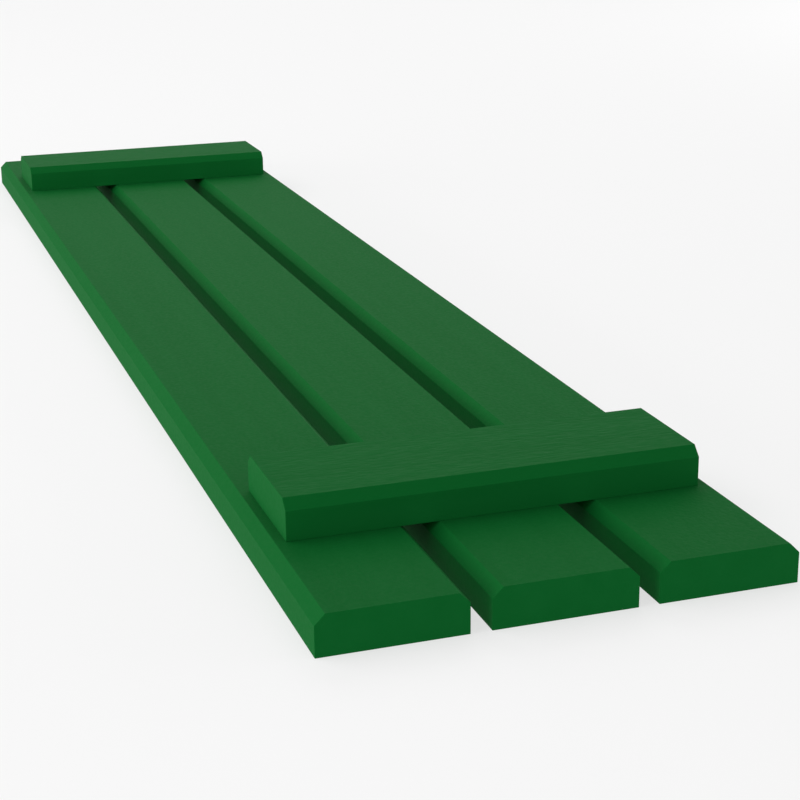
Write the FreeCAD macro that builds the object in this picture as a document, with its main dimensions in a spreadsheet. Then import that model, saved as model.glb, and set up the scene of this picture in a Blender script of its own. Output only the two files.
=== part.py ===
import FreeCAD, Part
import os
import Sketcher

# Board and batten window shutter, in millimetres.
# Three spaced boards with chamfered front edges are held together by two battens that cross their
# fronts near the ends. Screws through the backs of the boards hold the battens, so the front is bare.
# The shutter lies on its back: +Z is the way the front faces, +Y runs along the boards to the top end
# and +X runs across them. The origin is the centre of the back, which is the face that meets the wall.

# Driving dimensions: alias, value, what it measures.
SIZES = [
    ("board_width", 88.9, "width of a board's back"),
    ("board_thickness", 25.4, "thickness of a board"),
    ("board_length", 1371.6, "length of a board, which is the shutter's height on the wall"),
    ("board_gap", 12.7, "open gap between two boards"),
    ("board_chamfer", 6.35, "legs of the 45 degree chamfer on a board's two front edges"),
    ("batten_width", 88.9, "width of a batten's back"),
    ("batten_thickness", 25.4, "thickness of a batten"),
    ("batten_chamfer", 6.35, "legs of the 45 degree chamfer on a batten's two front edges"),
    ("batten_end_inset", 12.7, "from the outer edge of an outer board in to the batten's end"),
    ("batten_setback", 101.6, "from the end of the boards to the near edge of a batten"),
    ("screw_edge_distance", 25.4, "from the edges of a crossing in to the axes of its two screws"),
    ("screw_shank_diameter", 4.5, "clearance hole for the screw's shank through a board"),
    ("screw_head_diameter", 8.4, "mouth of the countersink in a board's back"),
    ("screw_head_angle", 82.0, "full angle of the countersink, in degrees"),
    ("pilot_diameter", 2.8, "blind hole for the screw's point in a batten"),
    ("pilot_depth", 14.3, "depth of that hole from the batten's back"),
]

# Where each board stands, in steps of one board and one gap from the middle.
BOARD_STEPS = {"left_board": -1, "middle_board": 0, "right_board": 1}

# Which end of the boards each batten is near.
BATTEN_SIDES = {"bottom_batten": -1, "top_batten": 1}

# Sizes and places that several sub-parts work out from the sheet.
BOARD_STEP = "(sizes.board_width + sizes.board_gap)"
BATTEN_LENGTH = "(3 * sizes.board_width + 2 * sizes.board_gap - 2 * sizes.batten_end_inset)"
BATTEN_CENTRE = "(sizes.board_length / 2 - sizes.batten_setback - sizes.batten_width / 2)"
SCREW_ACROSS = "(sizes.board_width / 2 - sizes.screw_edge_distance)"
SCREW_ALONG = "(sizes.batten_width / 2 - sizes.screw_edge_distance)"

# How a constraint names a sketch's own origin, and the points of a line or a circle.
SKETCH_ORIGIN = (-1, 1)
START = 1
END = 2
CENTRE = 3

ALONG_X = FreeCAD.Vector(1, 0, 0)
ALONG_Y = FreeCAD.Vector(0, 1, 0)
ALONG_Z = FreeCAD.Vector(0, 0, 1)
SAME_HEIGHT = 1e-6

doc = FreeCAD.newDocument("shutter")


def make_sheet():
    """Write the driving dimensions into a spreadsheet, each under its alias."""
    sheet = doc.addObject("Spreadsheet::Sheet", "sizes")
    for row, (alias, value, meaning) in enumerate(SIZES, start=1):
        sheet.set(f"A{row}", alias)
        sheet.set(f"B{row}", str(value))
        sheet.setAlias(f"B{row}", alias)
        sheet.set(f"C{row}", meaning)
    doc.recompute()


def origin_feature(body, role):
    """One of a body's own origin planes or axes, found by its role."""
    return next(feature for feature in body.Origin.OriginFeatures if feature.Role == role)


def make_sketch(body, name, plane):
    """An empty sketch on one of the body's own origin planes."""
    sketch = body.newObject("Sketcher::SketchObject", name)
    sketch.AttachmentSupport = [(origin_feature(body, plane), "")]
    sketch.MapMode = "FlatFace"
    return sketch


def bind(sketch, constraint, name, expression):
    """Add a named dimension to a sketch and bind it to the sheet."""
    index = sketch.addConstraint(constraint)
    sketch.renameConstraint(index, name)
    sketch.setExpression(f"Constraints.{name}", expression)


def make_section(body, plane, width, thickness):
    """Sketch a sawn section: a rectangle whose back has its middle on the sketch's origin."""
    sketch = make_sketch(body, f"{body.Name}_section", plane)
    corners = [FreeCAD.Vector(x, y, 0) for x, y in [(-1, 0), (1, 0), (1, 1), (-1, 1)]]
    back, right, front, left = [
        sketch.addGeometry(Part.LineSegment(start, end))
        for start, end in zip(corners, corners[1:] + corners[:1])
    ]
    for side, following in [(back, right), (right, front), (front, left), (left, back)]:
        sketch.addConstraint(Sketcher.Constraint("Coincident", side, END, following, START))
    for side in (back, front):
        sketch.addConstraint(Sketcher.Constraint("Horizontal", side))
    for side in (right, left):
        sketch.addConstraint(Sketcher.Constraint("Vertical", side))
    sketch.addConstraint(Sketcher.Constraint("Symmetric", back, START, back, END, *SKETCH_ORIGIN))
    bind(sketch, Sketcher.Constraint("DistanceX", back, START, back, END, 2.0), "width", width)
    bind(sketch, Sketcher.Constraint("DistanceY", right, START, right, END, 1.0), "thickness", thickness)
    return sketch


def front_edges(shape, run):
    """Names of the edges at a stick's front, its highest face, that follow its run."""
    front = shape.BoundBox.ZMax
    return [
        f"Edge{number}"
        for number, edge in enumerate(shape.Edges, start=1)
        if abs(edge.BoundBox.ZMin - front) < SAME_HEIGHT
        and abs(edge.tangentAt(edge.FirstParameter).dot(run)) > 0.5
    ]


def make_stick(label, section_plane, run, kind, length):
    """Saw one stick to section and length, then chamfer the two long edges of its front."""
    body = doc.addObject("PartDesign::Body", label)
    body.Label = label
    section = make_section(body, section_plane, f"sizes.{kind}_width", f"sizes.{kind}_thickness")
    sawn = body.newObject("PartDesign::Pad", f"{label}_sawn")
    sawn.Profile = section
    sawn.SideType = "Symmetric"
    sawn.setExpression("Length", length)
    doc.recompute()
    chamfered = body.newObject("PartDesign::Chamfer", f"{label}_chamfered")
    chamfered.Base = (sawn, front_edges(sawn.Shape, run))
    chamfered.setExpression("Size", f"sizes.{kind}_chamfer")
    doc.recompute()
    return body


def drill(body, diameter, centres):
    """Drill holes of one diameter into a stick's back.

    Each centre is a pair of expressions: how far it lies along X and along Y from the body's origin.
    """
    sketch = make_sketch(body, f"{body.Name}_hole_centres", "XY_Plane")
    for number, (x, y) in enumerate(centres, start=1):
        circle = sketch.addGeometry(Part.Circle(FreeCAD.Vector(0, number, 0), ALONG_Z, 1.0))
        across = Sketcher.Constraint("DistanceX", *SKETCH_ORIGIN, circle, CENTRE, 0.0)
        along = Sketcher.Constraint("DistanceY", *SKETCH_ORIGIN, circle, CENTRE, float(number))
        bind(sketch, across, f"across_{number}", x)
        bind(sketch, along, f"along_{number}", y)
        bind(sketch, Sketcher.Constraint("Radius", circle, 1.0), f"radius_{number}", f"{diameter} / 2")
    doc.recompute()
    hole = body.newObject("PartDesign::Hole", f"{body.Name}_holes")
    hole.Profile = sketch
    hole.Reversed = True
    hole.DrillPoint = "Flat"
    hole.setExpression("Diameter", diameter)
    return hole


def make_board(label, step):
    """A board: four countersunk screw holes in its back, two under each batten."""
    board = make_stick(label, "XZ_Plane", ALONG_Y, "board", "sizes.board_length")
    bottom_crossing = [
        (f"-{SCREW_ACROSS}", f"-{BATTEN_CENTRE} - {SCREW_ALONG}"),
        (f"{SCREW_ACROSS}", f"-{BATTEN_CENTRE} + {SCREW_ALONG}"),
    ]
    holes = drill(board, "sizes.screw_shank_diameter", bottom_crossing)
    holes.DepthType = "ThroughAll"
    holes.HoleCutType = "Countersink"
    holes.HoleCutCustomValues = True
    holes.setExpression("HoleCutDiameter", "sizes.screw_head_diameter")
    holes.setExpression("HoleCutCountersinkAngle", "sizes.screw_head_angle")
    doc.recompute()
    both_crossings = board.newObject("PartDesign::Mirrored", f"{label}_both_crossings")
    both_crossings.Originals = [holes]
    both_crossings.MirrorPlane = (origin_feature(board, "XZ_Plane"), [""])
    board.Tip = both_crossings
    board.setExpression("Placement.Base.x", f"{step} * {BOARD_STEP}")
    return board


def make_batten(label, side):
    """A batten: six pilot holes in its back, in line with the boards' screw holes."""
    batten = make_stick(label, "YZ_Plane", ALONG_X, "batten", BATTEN_LENGTH)
    left_crossing = [
        (f"-{BOARD_STEP} - {SCREW_ACROSS}", f"{side} * {SCREW_ALONG}"),
        (f"-{BOARD_STEP} + {SCREW_ACROSS}", f"{-side} * {SCREW_ALONG}"),
    ]
    holes = drill(batten, "sizes.pilot_diameter", left_crossing)
    holes.DepthType = "Dimension"
    holes.setExpression("Depth", "sizes.pilot_depth")
    doc.recompute()
    all_crossings = batten.newObject("PartDesign::LinearPattern", f"{label}_all_crossings")
    all_crossings.Originals = [holes]
    all_crossings.Direction = (origin_feature(batten, "X_Axis"), [""])
    all_crossings.Occurrences = len(BOARD_STEPS)
    all_crossings.setExpression("Length", f"{len(BOARD_STEPS) - 1} * {BOARD_STEP}")
    batten.Tip = all_crossings
    batten.setExpression("Placement.Base.y", f"{side} * {BATTEN_CENTRE}")
    batten.setExpression("Placement.Base.z", "sizes.board_thickness")
    return batten


def check(subparts):
    """Stop unless every object was worked out and every sub-part is one valid solid."""
    for item in doc.Objects:
        if "Invalid" in item.State or "Error" in item.State:
            raise RuntimeError(f"{item.Label} failed: {item.State}")
    for body in subparts:
        if body.Shape.isNull() or not body.Shape.isValid() or len(body.Shape.Solids) != 1:
            raise RuntimeError(f"{body.Label} is not one valid solid")


make_sheet()
subparts = [make_board(label, step) for label, step in BOARD_STEPS.items()]
subparts += [make_batten(label, side) for label, side in BATTEN_SIDES.items()]
doc.recompute()
check(subparts)

os.makedirs("parts", exist_ok=True)
for body in subparts:
    body.Shape.exportStep(f"parts/{body.Label}.step")
    print(f"{body.Label}: {body.Shape.Volume / 1000:.1f} cubic centimetres")
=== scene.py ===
"""Studio scene of a board and batten window shutter, painted green.

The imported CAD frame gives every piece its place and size. This script makes the finer meshes that
stand for the boards and battens, the screws in the back, the finishes, the studio and the camera.
Lengths are in metres, in the frame's axes: X across the boards, Y along them, Z out of the front.
"""

from __future__ import annotations

import logging
import math
from dataclasses import dataclass, field
from enum import Enum
from typing import Any

import bpy
import numpy as np
from mathutils import Matrix, Vector
from numpy.typing import NDArray

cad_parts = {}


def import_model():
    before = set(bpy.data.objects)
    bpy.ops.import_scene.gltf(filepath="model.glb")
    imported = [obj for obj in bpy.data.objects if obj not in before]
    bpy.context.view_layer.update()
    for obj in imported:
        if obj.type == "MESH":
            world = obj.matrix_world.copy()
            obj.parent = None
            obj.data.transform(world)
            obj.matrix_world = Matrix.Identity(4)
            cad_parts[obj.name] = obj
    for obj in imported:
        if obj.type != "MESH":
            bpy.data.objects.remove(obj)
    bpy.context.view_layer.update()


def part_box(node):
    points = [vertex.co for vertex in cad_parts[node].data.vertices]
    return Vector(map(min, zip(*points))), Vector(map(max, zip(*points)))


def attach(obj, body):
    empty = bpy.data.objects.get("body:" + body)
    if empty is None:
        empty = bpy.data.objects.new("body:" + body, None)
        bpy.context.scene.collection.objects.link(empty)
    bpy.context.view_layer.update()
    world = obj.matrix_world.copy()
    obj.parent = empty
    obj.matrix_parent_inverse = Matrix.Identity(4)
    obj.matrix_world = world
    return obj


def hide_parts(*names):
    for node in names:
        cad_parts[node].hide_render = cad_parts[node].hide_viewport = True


FloatArray = NDArray[np.float64]
IntArray = NDArray[np.int64]

MM = 0.001
BODY = "root"
# Unit vector out of the shutter's front
FRONT = np.array([0.0, 0.0, 1.0])
# Where no normals are stated, faces that meet at more than this angle look sharp
CREASE = math.radians(35)
# Decimals of a metre to which two places are one
PLACE_DECIMALS = 9
# Range that most values of a noise pattern lie in, as a Map Range node takes it
NOISE_RANGE = {"From Min": 0.3, "From Max": 0.7}
# Sockets of a Mix node: its two colours, and the colour that it gives
FIRST_COLOUR, SECOND_COLOUR, MIXED_COLOUR = 6, 7, 2

log = logging.getLogger("shutter")


class Run(Enum):
    """Axis of the frame that a stick's length, and so its grain, follows."""

    ACROSS = 0
    ALONG = 1


@dataclass
class Patch:
    """Faces with one number of corners each.

    Attributes:
        corners: vertex numbers, one row a face.
        normals: shading normal at every corner, shaped like corners with three numbers more.
    """

    corners: IntArray
    normals: FloatArray | None = None


@dataclass
class Surface:
    """Points and the patches of faces between them."""

    points: FloatArray
    patches: list[Patch]

    def to_object(self, name: str) -> bpy.types.Object:
        """Put the surface into a new mesh object at the origin.

        Args:
            name: name of the object and its mesh.

        Returns:
            The object, linked to the scene.
        """
        faces = [row for patch in self.patches for row in patch.corners.tolist()]
        stated = [patch.normals for patch in self.patches if patch.normals is not None]
        mesh = bpy.data.meshes.new(name)
        mesh.from_pydata(self.points.tolist(), [], faces)
        mesh.polygons.foreach_set("use_smooth", np.ones(len(faces), dtype=bool))
        if stated:
            normals = np.concatenate([rows.reshape(-1, 3) for rows in stated])
            mesh.normals_split_custom_set(normals.tolist())
        else:
            mesh.set_sharp_from_angle(angle=CREASE)
        mesh.update()
        piece = bpy.data.objects.new(name, mesh)
        bpy.context.scene.collection.objects.link(piece)
        return piece


def linear(hex_colour: str) -> tuple[float, float, float, float]:
    """Turn an sRGB hex colour into linear light.

    Args:
        hex_colour: six hex digits after a hash sign.

    Returns:
        Red, green, blue and an alpha of 1.
    """
    encoded = np.array([int(hex_colour[place : place + 2], 16) for place in (1, 3, 5)]) / 255
    light = np.where(encoded <= 0.04045, encoded / 12.92, ((encoded + 0.055) / 1.055) ** 2.4)
    return (*light.tolist(), 1.0)


def add_node(
    tree: bpy.types.NodeTree,
    kind: str,
    values: dict[str | int, Any] | None = None,
    links: dict[str | int, bpy.types.NodeSocket] | None = None,
    **settings: Any,
) -> bpy.types.Node:
    """Add one node with its settings, its socket values and the links into it.

    Args:
        tree: node tree that gets the node.
        kind: Blender's name for the type of node.
        values: input socket to the value it holds.
        links: input socket to the output socket that feeds it.
        settings: the node's own properties, set before its sockets.

    Returns:
        The new node.
    """
    node = tree.nodes.new(kind)
    for name, value in settings.items():
        setattr(node, name, value)
    for socket, value in (values or {}).items():
        node.inputs[socket].default_value = value
    for socket, source in (links or {}).items():
        tree.links.new(source, node.inputs[socket])
    return node


def new_material(name: str) -> tuple[bpy.types.Material, bpy.types.NodeTree]:
    """Make an empty node material.

    Args:
        name: name of the material.

    Returns:
        The material and its node tree.
    """
    material = bpy.data.materials.new(name)
    material.use_nodes = True
    material.node_tree.nodes.clear()
    return material, material.node_tree


@dataclass(frozen=True)
class Grain:
    """A soft uneven pattern that is drawn out along a stick.

    Attributes:
        width: size of a wave across the stick.
        length: size of a wave along it.
        detail: how many rounds of finer waves lie over the first.
        roughness: height of each round, as a share of the one before.
        waver: how far the waves wander from their line.
    """

    width: float
    length: float
    detail: float
    roughness: float = 0.5
    waver: float = 0.0

    def draw(
        self, tree: bpy.types.NodeTree, place: bpy.types.NodeSocket, run: Run
    ) -> bpy.types.NodeSocket:
        """Add the pattern to a material.

        It is a noise with one wave to the unit, read at the place over the size of a wave, axis by
        axis.

        Args:
            tree: node tree of the material.
            place: socket with the place on the piece.
            run: the way the stick runs.

        Returns:
            The socket with the pattern's height.
        """
        waves_a_metre = [1 / self.width] * 3
        waves_a_metre[run.value] = 1 / self.length
        stretched = add_node(
            tree, "ShaderNodeMapping", {"Scale": waves_a_metre}, {"Vector": place},
        )
        noise = add_node(
            tree, "ShaderNodeTexNoise",
            {
                "Scale": 1.0,
                "Detail": self.detail,
                "Roughness": self.roughness,
                "Distortion": self.waver,
            },
            {"Vector": stretched.outputs[0]},
        )
        return noise.outputs["Fac"]


@dataclass(frozen=True)
class ExteriorPaint:
    """Low-sheen exterior paint, sprayed over planed softwood.

    The film hides the wood's colour. It dries to a fine peel, shallow ripples drawn out along the
    stick, and keeps a trace of the grain under it: raised fibres and slow growth bands that barely
    shift the tone. Flat on, it looks matt; at a low angle it picks up a pale sheen. On the boards
    the ripples are rounder and half as high as on the battens. The narrow faces, chamfers and ends
    were sanded before painting, so they keep only a little of this relief. Peel and fibres are
    drawn several times as wide and as high as real ones, because those would not show.

    Attributes:
        full_colour: colour where the film is full.
        thin_colour: colour where it is thinner, over the growth bands.
        sheen_level: level of the sheen, on a scale where 0.5 is a plain gloss.
        smooth_roughness: roughness in the troughs of the peel.
        rough_roughness: roughness on its crests.
        batten_peel: ripples of the film on the battens.
        board_peel: ripples of the film on the boards.
        peel_height: height of the ripples at full relief.
        fibres: raised fibres of the wood.
        fibre_height: height of the fibres at full relief.
        bands: growth bands of the wood.
        batten_relief: share of the relief on the flat faces of the battens.
        board_relief: share of it on the flat faces of the boards.
        sanded_relief: share of it on the sanded faces.
        sanded_facing: size of the Z of a face's normal up to which the face counts as sanded.
    """

    full_colour: str = "#03521E"
    thin_colour: str = "#055420"
    sheen_level: float = 0.052
    smooth_roughness: float = 0.76
    rough_roughness: float = 0.84
    batten_peel: Grain = Grain(2.6 * MM, 8.0 * MM, detail=1.5)
    board_peel: Grain = Grain(2.6 * MM, 3.4 * MM, detail=1.5)
    peel_height: float = 0.35 * MM
    fibres: Grain = Grain(2.0 * MM, 45 * MM, detail=3.0, roughness=0.55, waver=0.15)
    fibre_height: float = 0.06 * MM
    bands: Grain = Grain(14 * MM, 420 * MM, detail=2.0)
    batten_relief: float = 1.0
    board_relief: float = 0.5
    sanded_relief: float = 0.2
    sanded_facing: float = 0.75

    def relief(
        self, tree: bpy.types.NodeTree, normal: bpy.types.NodeSocket, flat_relief: float
    ) -> bpy.types.NodeSocket:
        """Add the share of the relief that a face keeps, by how flat it lies.

        The share rises evenly with the size of the normal's Z, from sanded faces to flat ones.

        Args:
            tree: node tree of the material.
            normal: socket with the face's normal.
            flat_relief: share on the flat faces.

        Returns:
            The socket with the share.
        """
        facing = add_node(tree, "ShaderNodeSeparateXYZ", links={0: normal})
        flatness = add_node(
            tree, "ShaderNodeMath", links={0: facing.outputs["Z"]}, operation="ABSOLUTE",
        )
        share = add_node(
            tree, "ShaderNodeMapRange",
            {
                "From Min": self.sanded_facing,
                "From Max": 1.0,
                "To Min": self.sanded_relief,
                "To Max": flat_relief,
            },
            {"Value": flatness.outputs[0]},
        )
        return share.outputs[0]

    def material(self, run: Run) -> bpy.types.Material:
        """Make the paint for the boards, which run along, or the battens, which run across.

        Args:
            run: the way the sticks run.

        Returns:
            The material.
        """
        material, tree = new_material(f"exterior_paint_{run.name.lower()}")
        film, flat_relief = self.batten_peel, self.batten_relief
        if run is Run.ALONG:
            film, flat_relief = self.board_peel, self.board_relief
        coordinates = add_node(tree, "ShaderNodeTexCoord")
        place = coordinates.outputs["Object"]
        relief = self.relief(tree, coordinates.outputs["Normal"], flat_relief)
        fibres = self.fibres.draw(tree, place, run)
        bands = self.bands.draw(tree, place, run)
        peel = film.draw(tree, place, run)
        tone = add_node(tree, "ShaderNodeMapRange", NOISE_RANGE, {"Value": bands})
        colour = add_node(
            tree, "ShaderNodeMix",
            {FIRST_COLOUR: linear(self.full_colour), SECOND_COLOUR: linear(self.thin_colour)},
            {0: tone.outputs[0]}, data_type="RGBA",
        )
        roughness = add_node(
            tree, "ShaderNodeMapRange",
            {**NOISE_RANGE, "To Min": self.smooth_roughness, "To Max": self.rough_roughness},
            {"Value": peel},
        )
        fibre_bump = add_node(
            tree, "ShaderNodeBump", {"Distance": self.fibre_height},
            {"Height": fibres, "Strength": relief},
        )
        film_bump = add_node(
            tree, "ShaderNodeBump", {"Distance": self.peel_height},
            {"Height": peel, "Strength": relief, "Normal": fibre_bump.outputs[0]},
        )
        shader = add_node(
            tree, "ShaderNodeBsdfPrincipled", {"Specular IOR Level": self.sheen_level},
            {
                "Base Color": colour.outputs[MIXED_COLOUR],
                "Roughness": roughness.outputs[0],
                "Normal": film_bump.outputs[0],
            },
        )
        add_node(tree, "ShaderNodeOutputMaterial", links={"Surface": shader.outputs[0]})
        return material


@dataclass(frozen=True)
class StainlessSteel:
    """Cold-formed stainless steel, as of a wood screw: grey, with a soft uneven shine.

    Attributes:
        colour: colour of the bare metal.
        bright_roughness: roughness where the shine is brightest.
        dull_roughness: roughness where it is dullest.
        mottle_size: size of the bright and dull spots.
        mottle_detail: how many rounds of finer spots lie over the first.
    """

    colour: str = "#B9B6B0"
    bright_roughness: float = 0.28
    dull_roughness: float = 0.46
    mottle_size: float = 0.9 * MM
    mottle_detail: float = 3.0

    def material(self) -> bpy.types.Material:
        """Make the steel.

        Returns:
            The material.
        """
        material, tree = new_material("stainless_steel")
        place = add_node(tree, "ShaderNodeTexCoord").outputs["Object"]
        mottle = add_node(
            tree, "ShaderNodeTexNoise",
            {"Scale": 1 / self.mottle_size, "Detail": self.mottle_detail}, {"Vector": place},
        )
        roughness = add_node(
            tree, "ShaderNodeMapRange",
            {**NOISE_RANGE, "To Min": self.bright_roughness, "To Max": self.dull_roughness},
            {"Value": mottle.outputs["Fac"]},
        )
        shader = add_node(
            tree, "ShaderNodeBsdfPrincipled", {"Base Color": linear(self.colour), "Metallic": 1.0},
            {"Roughness": roughness.outputs[0]},
        )
        add_node(tree, "ShaderNodeOutputMaterial", links={"Surface": shader.outputs[0]})
        return material


@dataclass(frozen=True)
class PaleFloor:
    """Opal acrylic of a studio light table: matt, pale and softly lit from below.

    Its glow reaches into the gaps between the boards, and the lamps still cast the shutter's
    shadow on it. Where the floor runs on behind the lamps, out of their light, the glow rises to
    make up for them.

    Attributes:
        colour: colour of the acrylic.
        glow: its glow round the shutter.
        far_glow: its glow behind the lamps.
        reach: half the length, on X and Y, of the rounded rectangle at which the glow has risen.
        rise_from: where the rise begins, as a share of the reach.
    """

    colour: str = "#959595"
    glow: float = 0.62
    far_glow: float = 0.86
    reach: tuple[float, float] = (2.66, 3.85)
    rise_from: float = 0.84

    def material(self) -> bpy.types.Material:
        """Make the floor.

        The rounded rectangle is where x and y, as shares of the reach, have fourth powers that sum
        to 1. The length of their squares is the root of that sum, so the glow rises from where it
        is the square of rise_from to where it is 1.

        Returns:
            The material.
        """
        material, tree = new_material("pale_floor")
        place = add_node(tree, "ShaderNodeTexCoord").outputs["Object"]
        shares = add_node(
            tree, "ShaderNodeMapping",
            {"Scale": (1 / self.reach[0], 1 / self.reach[1], 1.0)}, {"Vector": place},
        )
        squares = add_node(
            tree, "ShaderNodeVectorMath", links={0: shares.outputs[0], 1: shares.outputs[0]},
            operation="MULTIPLY",
        )
        length = add_node(
            tree, "ShaderNodeVectorMath", links={0: squares.outputs[0]}, operation="LENGTH",
        )
        glow = add_node(
            tree, "ShaderNodeMapRange",
            {
                "From Min": self.rise_from**2,
                "From Max": 1.0,
                "To Min": self.glow,
                "To Max": self.far_glow,
            },
            {"Value": length.outputs["Value"]},
        )
        matt = add_node(tree, "ShaderNodeBsdfDiffuse", {"Color": linear(self.colour)})
        lit = add_node(tree, "ShaderNodeEmission", links={"Strength": glow.outputs[0]})
        both = add_node(tree, "ShaderNodeAddShader", links={0: matt.outputs[0], 1: lit.outputs[0]})
        add_node(tree, "ShaderNodeOutputMaterial", links={"Surface": both.outputs[0]})
        return material


def seen_directly(tree: bpy.types.NodeTree) -> bpy.types.NodeSocket:
    """Add a value that is 1 for rays from the camera, from a shine and through glass, or else 0.

    Args:
        tree: node tree that gets the nodes.

    Returns:
        The socket with the value.
    """
    path = add_node(tree, "ShaderNodeLightPath")
    seen = path.outputs["Is Camera Ray"]
    for ray in ("Is Glossy Ray", "Is Transmission Ray"):
        either = add_node(
            tree, "ShaderNodeMath", links={0: seen, 1: path.outputs[ray]}, operation="MAXIMUM",
        )
        seen = either.outputs[0]
    return seen


@dataclass(frozen=True)
class Countersink:
    """Sunk mouth of a screw hole in a board's back.

    Attributes:
        mouth_radius: radius where the cone meets the back.
        shank_radius: radius where the cone meets the plain hole.
        half_angle_deg: angle between the cone and its axis.
        depth: depth of the modelled hole, past the reach of sight.
        plate_half: half the side of the square of the back that holds the hole.
        points_a_side: points of the circle for each side of that square.
    """

    mouth_radius: float = 4.2 * MM
    shank_radius: float = 2.25 * MM
    half_angle_deg: float = 41.0
    depth: float = 8.0 * MM
    plate_half: float = 9.0 * MM
    points_a_side: int = 12

    @property
    def cone_depth(self) -> float:
        """Depth at which the cone has narrowed to the shank."""
        return (self.mouth_radius - self.shank_radius) / math.tan(math.radians(self.half_angle_deg))

    def rings(self) -> tuple[FloatArray, FloatArray]:
        """Circles of the hole, from its mouth to its closed bottom.

        A point of a ring is its radius times (cos, sin) of an angle that starts at the corner of
        the square with the lowest X and Y, with the ring's depth as Z.

        Returns:
            Points, shaped rings by points of a circle by 3, and the angles.
        """
        count = 4 * self.points_a_side
        lowest_corner = -0.75 * math.pi
        angles = lowest_corner + 2 * math.pi * np.arange(count) / count
        radii = np.array([self.mouth_radius, self.shank_radius, self.shank_radius])
        depths = np.array([0.0, self.cone_depth, self.depth])
        circle = np.stack([np.cos(angles), np.sin(angles)], axis=-1)
        flat = radii[:, None, None] * circle
        height = np.broadcast_to(depths[:, None, None], (len(depths), count, 1))
        return np.concatenate([flat, height], axis=-1), angles


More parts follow.
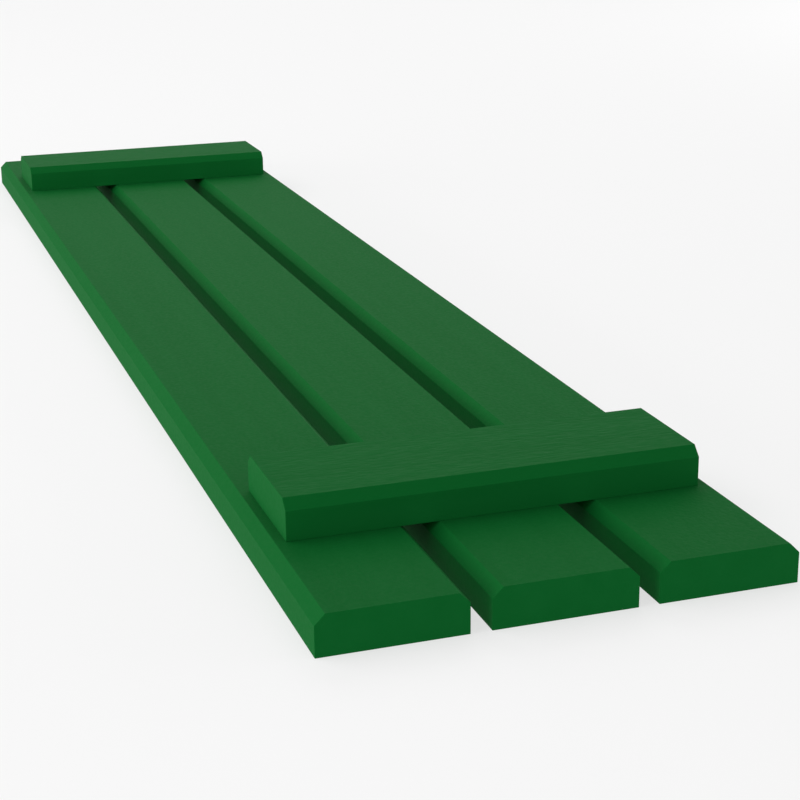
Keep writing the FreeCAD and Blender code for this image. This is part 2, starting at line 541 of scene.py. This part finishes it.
@dataclass(frozen=True)
class Screw:
    """Countersunk wood screw with a six-lobe drive, its axis along Z and its head at the bottom.

    Attributes:
        head_radius: radius of the head.
        head_land: height of the plain rim between the head's face and its cone.
        half_angle_deg: angle between the head's cone and its axis.
        sunk: how far the head's face lies inside the board's back.
        drive_radius: mean radius of the drive's mouth.
        drive_depth: depth of the drive.
        drive_taper: radius of the drive's floor, as a share of its mouth's.
        lobes: lobes of the drive.
        lobe_swell: how far a lobe swells, as a share of the mean radius.
        shank_radius: radius of the plain shank and of the thread's crest.
        core_radius: radius of the thread's root.
        pitch: distance from one turn of the thread to the next.
        ridge_share: half the width of the thread's foot, as a share of the pitch.
        plain_length: length from the head's face to the thread.
        length: length from the head's face to the point.
        point_length: length over which the point tapers.
        point_share: radius of the blunt tip, as a share of the full one.
        ring_points: points round the screw, a whole number for each lobe.
        rows_a_pitch: rows of points for each turn of the thread.
        turn_step: how far each screw of a row is turned from the one before, as driven by hand.
    """

    head_radius: float = 4.0 * MM
    head_land: float = 0.3 * MM
    half_angle_deg: float = 41.0
    sunk: float = 0.2 * MM
    drive_radius: float = 1.75 * MM
    drive_depth: float = 1.8 * MM
    drive_taper: float = 0.9
    lobes: int = 6
    lobe_swell: float = 0.11
    shank_radius: float = 2.1 * MM
    core_radius: float = 1.35 * MM
    pitch: float = 2.1 * MM
    ridge_share: float = 1 / 6
    plain_length: float = 14.0 * MM
    length: float = 38.0 * MM
    point_length: float = 5.0 * MM
    point_share: float = 0.08
    ring_points: int = 36
    rows_a_pitch: int = 6
    turn_step: float = math.radians(137.5)

    def rings(self) -> FloatArray:
        """Rings of one screw, from the floor of its drive over the head and down to the point.

        A point of a ring is its radius times (cos, sin) of its angle, with its depth as Z. In the
        drive the radius swells with the cosine of the angle times the number of lobes. On the
        thread it is the core's, plus a ridge that peaks where depth over pitch, less the turn's
        share, is whole, and falls evenly to nothing at its foot. It shrinks evenly over the point.

        Returns:
            Points, shaped rings by points of a ring by 3.
        """
        angle = 2 * math.pi * np.arange(self.ring_points) / self.ring_points
        mouth = self.drive_radius * (1 + self.lobe_swell * np.cos(self.lobes * angle))
        round_ring = np.ones_like(angle)
        cone = (self.head_radius - self.shank_radius) / math.tan(math.radians(self.half_angle_deg))
        under_head = self.head_land + cone
        head = [
            (self.drive_depth, self.drive_taper * mouth),
            (0.0, mouth),
            (0.0, self.head_radius * round_ring),
            (self.head_land, self.head_radius * round_ring),
            (under_head, self.shank_radius * round_ring),
            (self.plain_length, self.shank_radius * round_ring),
        ]
        rows = round((self.length - self.plain_length) / self.pitch * self.rows_a_pitch)
        thread_depth = np.linspace(self.plain_length, self.length, rows + 1)[1:, None]
        phase = (thread_depth / self.pitch - angle / (2 * math.pi)) % 1.0
        from_crest = 0.5 - np.abs(phase - 0.5)
        ridge = np.clip(1 - from_crest / self.ridge_share, 0.0, 1.0)
        taper = np.clip((self.length - thread_depth) / self.point_length, self.point_share, 1.0)
        thread = taper * (self.core_radius + (self.shank_radius - self.core_radius) * ridge)
        radius = np.concatenate([np.stack([ring for _, ring in head]), thread])
        depth = np.concatenate([[level for level, _ in head], thread_depth[:, 0]]) + self.sunk
        height = np.broadcast_to(depth[:, None], radius.shape)
        return np.stack([radius * np.cos(angle), radius * np.sin(angle), height], axis=-1)

    def surface(self, axes: FloatArray, back: float) -> Surface:
        """Set a screw on each axis, each turned a step further, and close its drive and point.

        Args:
            axes: X and Y of the screws, one row each.
            back: height of the boards' back.

        Returns:
            The closed surface of all the screws.
        """
        rings = self.rings()
        count = len(axes)
        turn = self.turn_step * np.arange(count)
        cosine, sine = np.cos(turn), np.sin(turn)
        none, whole = np.zeros(count), np.ones(count)
        turned = np.array([[cosine, -sine, none], [sine, cosine, none], [none, none, whole]])
        places = np.concatenate([axes, np.full((count, 1), back)], axis=-1)
        points = np.einsum("ijn,rcj->nrci", turned, rings) + places[:, None, None]
        number = np.arange(points[..., 0].size).reshape(points.shape[:3])
        following = np.roll(number, -1, axis=2)
        corners = [number[:, :-1], following[:, :-1], following[:, 1:], number[:, 1:]]
        walls = np.stack(corners, axis=-1).reshape(-1, 4)
        drive_floor = number[:, 0, ::-1]
        tip = number[:, -1]
        return Surface(points.reshape(-1, 3), [Patch(walls), Patch(drive_floor), Patch(tip)])

    def build(
        self, name: str, axes: FloatArray, back: float, steel: bpy.types.Material
    ) -> bpy.types.Object:
        """Make a row of screws as one piece.

        Args:
            name: name of the piece.
            axes: X and Y of the screws, one row each.
            back: height of the boards' back.
            steel: the screws' material.

        Returns:
            The screws' object.
        """
        piece = self.surface(axes, back).to_object(name)
        piece.data.materials.append(steel)
        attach(piece, BODY)
        return piece


@dataclass(frozen=True)
class Stick:
    """One sawn and chamfered stick of the shutter: a section carried along its run.

    Attributes:
        node: CAD node that the stick stands for.
        run: axis that its length follows.
        low: lowest corner of its box.
        high: highest corner of its box.
        chamfer: legs of the 45 degree chamfer along both front edges.
        arris: radius to which sanding and paint round the long edges of the front.
        back_arris: radius of the two long edges of the back.
        end_arris: radius of the edges round the sawn ends, less than the other two.
        arc_points: points on each rounded edge.
        holes: centres of the screw holes in its back, X and Y, one row each.
        sink: the countersink of each hole.
    """

    node: str
    run: Run
    low: FloatArray
    high: FloatArray
    chamfer: float = 6.35 * MM
    arris: float = 0.6 * MM
    back_arris: float = 0.3 * MM
    end_arris: float = 0.25 * MM
    arc_points: int = 6
    holes: FloatArray = field(default_factory=lambda: np.empty((0, 2)))
    sink: Countersink = Countersink()

    @property
    def centre(self) -> FloatArray:
        """Middle of the stick's back."""
        middle = (self.low + self.high) / 2
        middle[2] = self.low[2]
        return middle

    @property
    def across_axis(self) -> FloatArray:
        """Unit vector of the section's width, with the run and the thickness a right-handed set."""
        return np.cross(self.run_axis, FRONT)

    @property
    def run_axis(self) -> FloatArray:
        """Unit vector along the stick."""
        return np.eye(3)[self.run.value]

    def section(self, back_places: FloatArray) -> tuple[FloatArray, FloatArray]:
        """Outline of the section, counter-clockwise from the right of the back, and its normals.

        Each corner of the chamfered rectangle becomes an arc that touches both of its sides: the
        arc's centre lies inside, on the corner's bisector, at the arris radius over the cosine of
        half the turn, and the normals turn evenly from one side's to the next side's. Points on
        the flat back follow, at the places where its squares begin and end.

        Args:
            back_places: distances across the back, in rising order.

        Returns:
            Points and outward normals, each a row of width and thickness.
        """
        size = self.high - self.low
        half = size[1 - self.run.value] / 2
        top = size[2]
        leg = self.chamfer
        right = np.array([(half, 0.0), (half, top - leg), (half - leg, top)])
        corners = np.concatenate([right, right[::-1] * (-1.0, 1.0)])
        sides = np.roll(corners, -1, axis=0) - corners
        leaving = np.arctan2(sides[:, 1], sides[:, 0])
        arriving = np.roll(leaving, 1)
        turn = (leaving - arriving) % (2 * math.pi)
        share = np.linspace(0.0, 1.0, self.arc_points)
        angle = arriving[:, None] - math.pi / 2 + turn[:, None] * share
        normals = np.stack([np.cos(angle), np.sin(angle)], axis=-1)
        bisector = arriving + turn / 2 - math.pi / 2
        inward = -np.stack([np.cos(bisector), np.sin(bisector)], axis=-1)
        radius = np.where(corners[:, 1] > 0.0, self.arris, self.back_arris)
        centres = corners + inward * (radius / np.cos(turn / 2))[:, None]
        arcs = centres[:, None] + radius[:, None, None] * normals
        back = np.stack([back_places, np.zeros_like(back_places)], axis=-1)
        down = np.broadcast_to((0.0, -1.0), back.shape)
        outline = np.concatenate([arcs.reshape(-1, 2), back])
        facing = np.concatenate([normals.reshape(-1, 2), down])
        return outline, facing

    def stations(self, run_places: FloatArray) -> tuple[FloatArray, FloatArray, FloatArray]:
        """Places along the run, how far the section shrinks there, and the tilt of its normals.

        Towards each end the section shrinks along a quarter circle of the end arris: at an angle a
        from the long faces it lies 1 - sin a radii short of the end, 1 - cos a radii in, and its
        normals lean by sin a to the end.

        Args:
            run_places: further distances along the run, in rising order.

        Returns:
            Places, insets and the sine of the lean, signed by the end.
        """
        half = (self.high - self.low)[self.run.value] / 2
        angle = np.linspace(math.pi / 2, 0.0, self.arc_points)
        near = self.end_arris * (1 - np.sin(angle)) - half
        inset = self.end_arris * (1 - np.cos(angle))
        none = np.zeros_like(run_places)
        return (
            np.concatenate([near, run_places, -near[::-1]]),
            np.concatenate([inset, none, inset[::-1]]),
            np.concatenate([-np.sin(angle), none, np.sin(angle[::-1])]),
        )

    def surface(self) -> Surface:
        """Carry the section along the stations, close the ends and sink the holes.

        A point is the middle of the back, plus the outline less its inset along the normal, plus
        the station's place along the run.

        Returns:
            The closed surface, in the frame.
        """
        local_holes = self.holes - self.centre[:2]
        half = self.sink.plate_half
        plate_edges = np.array([-half, half])
        back_places = np.unique((local_holes[:, :1] + plate_edges).round(PLACE_DECIMALS))
        run_places = np.unique((local_holes[:, 1:] + plate_edges).round(PLACE_DECIMALS))
        outline, facing = self.section(back_places)
        place, inset, lean = self.stations(run_places)
        upright = np.sqrt(1 - lean**2)
        flat = outline[None] - inset[:, None, None] * facing
        axes = np.stack([self.across_axis, FRONT])
        grid = self.centre + flat @ axes + place[:, None, None] * self.run_axis
        normals = upright[:, None, None] * (facing @ axes) + lean[:, None, None] * self.run_axis
        rows, columns = grid.shape[:2]
        number = np.arange(rows * columns).reshape(rows, columns)
        points = grid.reshape(-1, 3)
        shading = normals.reshape(-1, 3)
        following = np.roll(number, -1, axis=1)
        quads = np.stack([number[:-1], number[1:], following[1:], following[:-1]], axis=-1)
        kept = np.ones(quads.shape[:2], dtype=bool)
        cells = self.hole_cells(local_holes, back_places, run_places, columns)
        kept[cells[:, 0], cells[:, 1]] = False
        sides = quads[kept]
        ends = [number[:1], number[-1:, ::-1]]
        surface = Surface(points, [Patch(loop, shading[loop]) for loop in (sides, *ends)])
        if len(cells):
            self.sink_holes(surface, quads[cells[:, 0], cells[:, 1]])
        return surface

    def hole_cells(
        self, local_holes: FloatArray, back_places: FloatArray, run_places: FloatArray, columns: int
    ) -> IntArray:
        """Row and column of the face that each hole goes through.

        Args:
            local_holes: hole centres from the middle of the back.
            back_places: where the squares begin and end across the back.
            run_places: where they begin and end along the run.
            columns: points in the section.

        Returns:
            One row a hole.
        """
        row = np.searchsorted(run_places, local_holes[:, 1]) + self.arc_points - 1
        column = np.searchsorted(back_places, local_holes[:, 0]) + columns - len(back_places) - 1
        return np.stack([row, column], axis=-1)

    def sink_holes(self, surface: Surface, squares: IntArray) -> None:
        """Fill the squares left out of the back with countersunk holes.

        Each square becomes four plates, each between one of its sides and a quarter of the mouth,
        then a cone, a plain bore and a closed bottom.

        Args:
            surface: the stick's surface, which gains points and patches.
            squares: corners of the squares, one row a hole.
        """
        rings, angles = self.sink.rings()
        levels, count = rings.shape[:2]
        holes = len(self.holes)
        middles = np.concatenate([self.holes, np.full((holes, 1), self.low[2])], axis=-1)
        points = middles[:, None, None] + rings
        first = len(surface.points)
        number = first + np.arange(holes * levels * count).reshape(holes, levels, count)
        surface.points = np.concatenate([surface.points, points.reshape(-1, 3)])
        # A square's corners run the other way round than the points of the mouth
        side = np.arange(4)
        begins, ends = squares[:, -side % 4, None], squares[:, -(side + 1) % 4, None]
        quarter = np.arange(self.sink.points_a_side + 1)
        mouth = number[:, 0][:, (side[:, None] * self.sink.points_a_side + quarter) % count]
        plates = np.concatenate([ends, begins, mouth], axis=-1).reshape(-1, len(quarter) + 2)
        following = np.roll(number, -1, axis=2)
        corners = [number[:, :-1], number[:, 1:], following[:, 1:], following[:, :-1]]
        walls = np.stack(corners, axis=-1).reshape(-1, 4)
        slope = math.radians(self.sink.half_angle_deg)
        inward = -np.stack([np.cos(angles), np.sin(angles), np.zeros(count)], axis=-1)
        cone = inward * math.cos(slope) - FRONT * math.sin(slope)
        wall_normals = np.stack([cone, inward])
        turned = np.roll(wall_normals, -1, axis=1)
        corner_normals = np.stack([wall_normals, wall_normals, turned, turned], axis=2)
        hole_normals = np.broadcast_to(corner_normals, (holes, *corner_normals.shape))
        surface.patches += [
            Patch(plates, np.broadcast_to(-FRONT, (*plates.shape, 3))),
            Patch(walls, hole_normals.reshape(-1, 4, 3)),
            Patch(number[:, -1, ::-1], np.broadcast_to(-FRONT, (holes, count, 3))),
        ]

    def build(self, paint: bpy.types.Material) -> bpy.types.Object:
        """Make the stick, paint it and let it stand for its CAD node.

        Args:
            paint: the paint for its run.

        Returns:
            The stick's object.
        """
        piece = self.surface().to_object(f"{self.node}_painted")
        piece.data.materials.append(paint)
        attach(piece, BODY)
        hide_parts(self.node)
        return piece


@dataclass(frozen=True)
class Camera:
    """Camera at the photograph's viewing angle.

    Attributes:
        place: where the lens stands.
        yaw_deg: turn of the view from +Y towards +X.
        pitch_deg: how far it looks down.
        roll_deg: how far the camera leans over, clockwise as it looks.
        focal_px: focal length in pixels of the photograph.
        centre_px: the pixel that the optical axis meets.
        image_px: width and height of the photograph.
        sensor_mm: width of the sensor.
    """

    place: tuple[float, float, float] = (-0.37812, -1.52792, 0.43200)
    yaw_deg: float = 18.5627
    pitch_deg: float = 17.8793
    roll_deg: float = 0.575
    focal_px: float = 1807.26
    centre_px: tuple[float, float] = (402.30, 388.91)
    image_px: int = 800
    sensor_mm: float = 36.0

    def matrix(self) -> Matrix:
        """The camera's axes and place: right, up and backwards as columns.

        The view turns by the yaw, dips by the pitch, and right and up turn about it by the roll.

        Returns:
            The world matrix.
        """
        yaw = math.radians(self.yaw_deg)
        pitch = math.radians(self.pitch_deg)
        roll = math.radians(self.roll_deg)
        level_share = math.cos(pitch)
        forward = Vector(
            (math.sin(yaw) * level_share, math.cos(yaw) * level_share, -math.sin(pitch))
        )
        level = Vector((math.cos(yaw), -math.sin(yaw), 0.0))
        down = forward.cross(level)
        right = math.cos(roll) * level + math.sin(roll) * down
        up = math.sin(roll) * level - math.cos(roll) * down
        columns = Matrix((right, up, -forward)).transposed()
        return Matrix.Translation(self.place) @ columns.to_4x4()

    def build(self) -> None:
        """Make the camera and hand it to the scene."""
        data = bpy.data.cameras.new("photo_camera")
        data.sensor_width = self.sensor_mm
        data.lens = self.focal_px / self.image_px * self.sensor_mm
        data.shift_x = (self.image_px / 2 - self.centre_px[0]) / self.image_px
        data.shift_y = (self.centre_px[1] - self.image_px / 2) / self.image_px
        camera = bpy.data.objects.new("photo_camera", data)
        camera.matrix_world = self.matrix()
        bpy.context.scene.collection.objects.link(camera)
        bpy.context.scene.camera = camera


@dataclass(frozen=True)
class Softbox:
    """A large soft lamp that faces the shutter.

    Attributes:
        name: name of the lamp.
        place: where it hangs.
        size: width and height of its face.
        power: its power in watts.
        target: the point it faces, the middle of the shutter's back.
    """

    name: str
    place: tuple[float, float, float]
    size: tuple[float, float]
    power: float
    target: tuple[float, float, float] = (0.0, 0.0, 0.0)

    def build(self) -> None:
        """Make the lamp, turn its face to the target and hang it in the scene."""
        data = bpy.data.lights.new(self.name, "AREA")
        data.shape = "RECTANGLE"
        data.size, data.size_y = self.size
        data.energy = self.power
        lamp = bpy.data.objects.new(self.name, data)
        facing = (Vector(self.target) - Vector(self.place)).to_track_quat("-Z", "Y")
        lamp.matrix_world = Matrix.LocRotScale(Vector(self.place), facing, None)
        bpy.context.scene.collection.objects.link(lamp)


@dataclass(frozen=True)
class Studio:
    """Pale floor, white surroundings, soft lamps and the camera.

    Attributes:
        floor_half: half the side of the floor.
        dome_colour: colour of the surroundings.
        dome_strength: strength of their light on the scene.
        dome_seen: their strength where they are seen, which is plain white.
        lamps: the soft lamps.
        camera: the camera.
    """

    floor_half: float = 14.0
    dome_colour: str = "#FFFFFF"
    dome_strength: float = 0.40
    dome_seen: float = 1.0
    lamps: tuple[Softbox, ...] = (
        Softbox("left_low_softbox", (-2.6, 0.0, 0.36), (4.0, 0.7), 56.5),
        Softbox("left_high_softbox", (-2.0, 0.4, 2.4), (4.0, 1.7), 53.5),
        Softbox("right_softbox", (2.6, 0.0, 0.36), (4.0, 0.7), 48.0),
        Softbox("back_softbox", (1.2, 4.0, 2.8), (4.0, 2.4), 69.5),
        Softbox("front_softbox", (0.0, -3.6, 1.2), (3.0, 2.2), 29.5),
    )
    camera: Camera = Camera()

    def build(self) -> None:
        """Make the floor, the surroundings, the lamps and the camera."""
        self.build_floor()
        self.build_dome()
        for lamp in self.lamps:
            lamp.build()
        self.camera.build()
        bpy.context.scene.view_settings.view_transform = "Standard"

    def build_floor(self) -> None:
        """Lay the floor, a flat square at the height of the shutter's back."""
        corners = self.floor_half * np.array([(-1, -1, 0), (1, -1, 0), (1, 1, 0), (-1, 1, 0)])
        up = np.broadcast_to(FRONT, (1, 4, 3))
        floor = Surface(corners, [Patch(np.arange(4)[None], up)]).to_object("floor")
        floor.data.materials.append(PaleFloor().material())

    def build_dome(self) -> None:
        """Surround the scene with soft white light, seen as plain white."""
        world = bpy.data.worlds.new("studio_dome")
        world.use_nodes = True
        tree = world.node_tree
        tree.nodes.clear()
        strength = add_node(
            tree, "ShaderNodeMapRange", {"To Min": self.dome_strength, "To Max": self.dome_seen},
            {"Value": seen_directly(tree)},
        )
        glow = add_node(
            tree, "ShaderNodeBackground", {"Color": linear(self.dome_colour)},
            {"Strength": strength.outputs[0]},
        )
        add_node(tree, "ShaderNodeOutputWorld", links={"Surface": glow.outputs[0]})
        bpy.context.scene.world = world


@dataclass(frozen=True)
class Shutter:
    """The three boards, the two battens across them and the screws that hold the battens.

    Attributes:
        boards: CAD nodes of the boards.
        battens: CAD nodes of the battens.
        screw_edge: from the edges of a crossing in to the axes of its two screws.
    """

    boards: tuple[str, ...] = ("left_board", "middle_board", "right_board")
    battens: tuple[str, ...] = ("bottom_batten", "top_batten")
    screw_edge: float = 25.4 * MM

    def crossing_screws(self, board: str, batten: str) -> FloatArray:
        """Axes of the two screws where a batten crosses a board.

        They lie on a diagonal of the crossing, which leans the other way at the other batten.

        Args:
            board: CAD node of the board.
            batten: CAD node of the batten.

        Returns:
            X and Y of the axes, one row each.
        """
        board_low, board_high = np.array(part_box(board))
        batten_low, batten_high = np.array(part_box(batten))
        left, right = board_low[0] + self.screw_edge, board_high[0] - self.screw_edge
        along = np.array([batten_low[1] + self.screw_edge, batten_high[1] - self.screw_edge])
        outer_first = along[np.argsort(-np.abs(along))]
        return np.stack([(left, right), outer_first], axis=-1)

    def build(self) -> list[bpy.types.Object]:
        """Make and paint all the sticks, and screw the battens on.

        Returns:
            The pieces.
        """
        paint = ExteriorPaint()
        steel = StainlessSteel().material()
        along = paint.material(Run.ALONG)
        across = paint.material(Run.ACROSS)
        pieces = []
        for node in self.boards:
            low, high = np.array(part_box(node))
            holes = np.concatenate([self.crossing_screws(node, batten) for batten in self.battens])
            pieces.append(Stick(node, Run.ALONG, low, high, holes=holes).build(along))
        for node in self.battens:
            low, high = np.array(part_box(node))
            pieces.append(Stick(node, Run.ACROSS, low, high).build(across))
            axes = np.concatenate([self.crossing_screws(board, node) for board in self.boards])
            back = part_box(self.boards[0])[0][2]
            pieces.append(Screw().build(f"{node}_screws", axes, back, steel))
        return pieces


def main() -> None:
    """Load the frame, build the shutter and the studio, and report each piece."""
    logging.basicConfig(level=logging.INFO, format="%(name)s: %(message)s")
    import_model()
    for piece in Shutter().build():
        log.info("%s has %d faces", piece.name, len(piece.data.polygons))
    Studio().build()


if __name__ == "__main__":
    main()
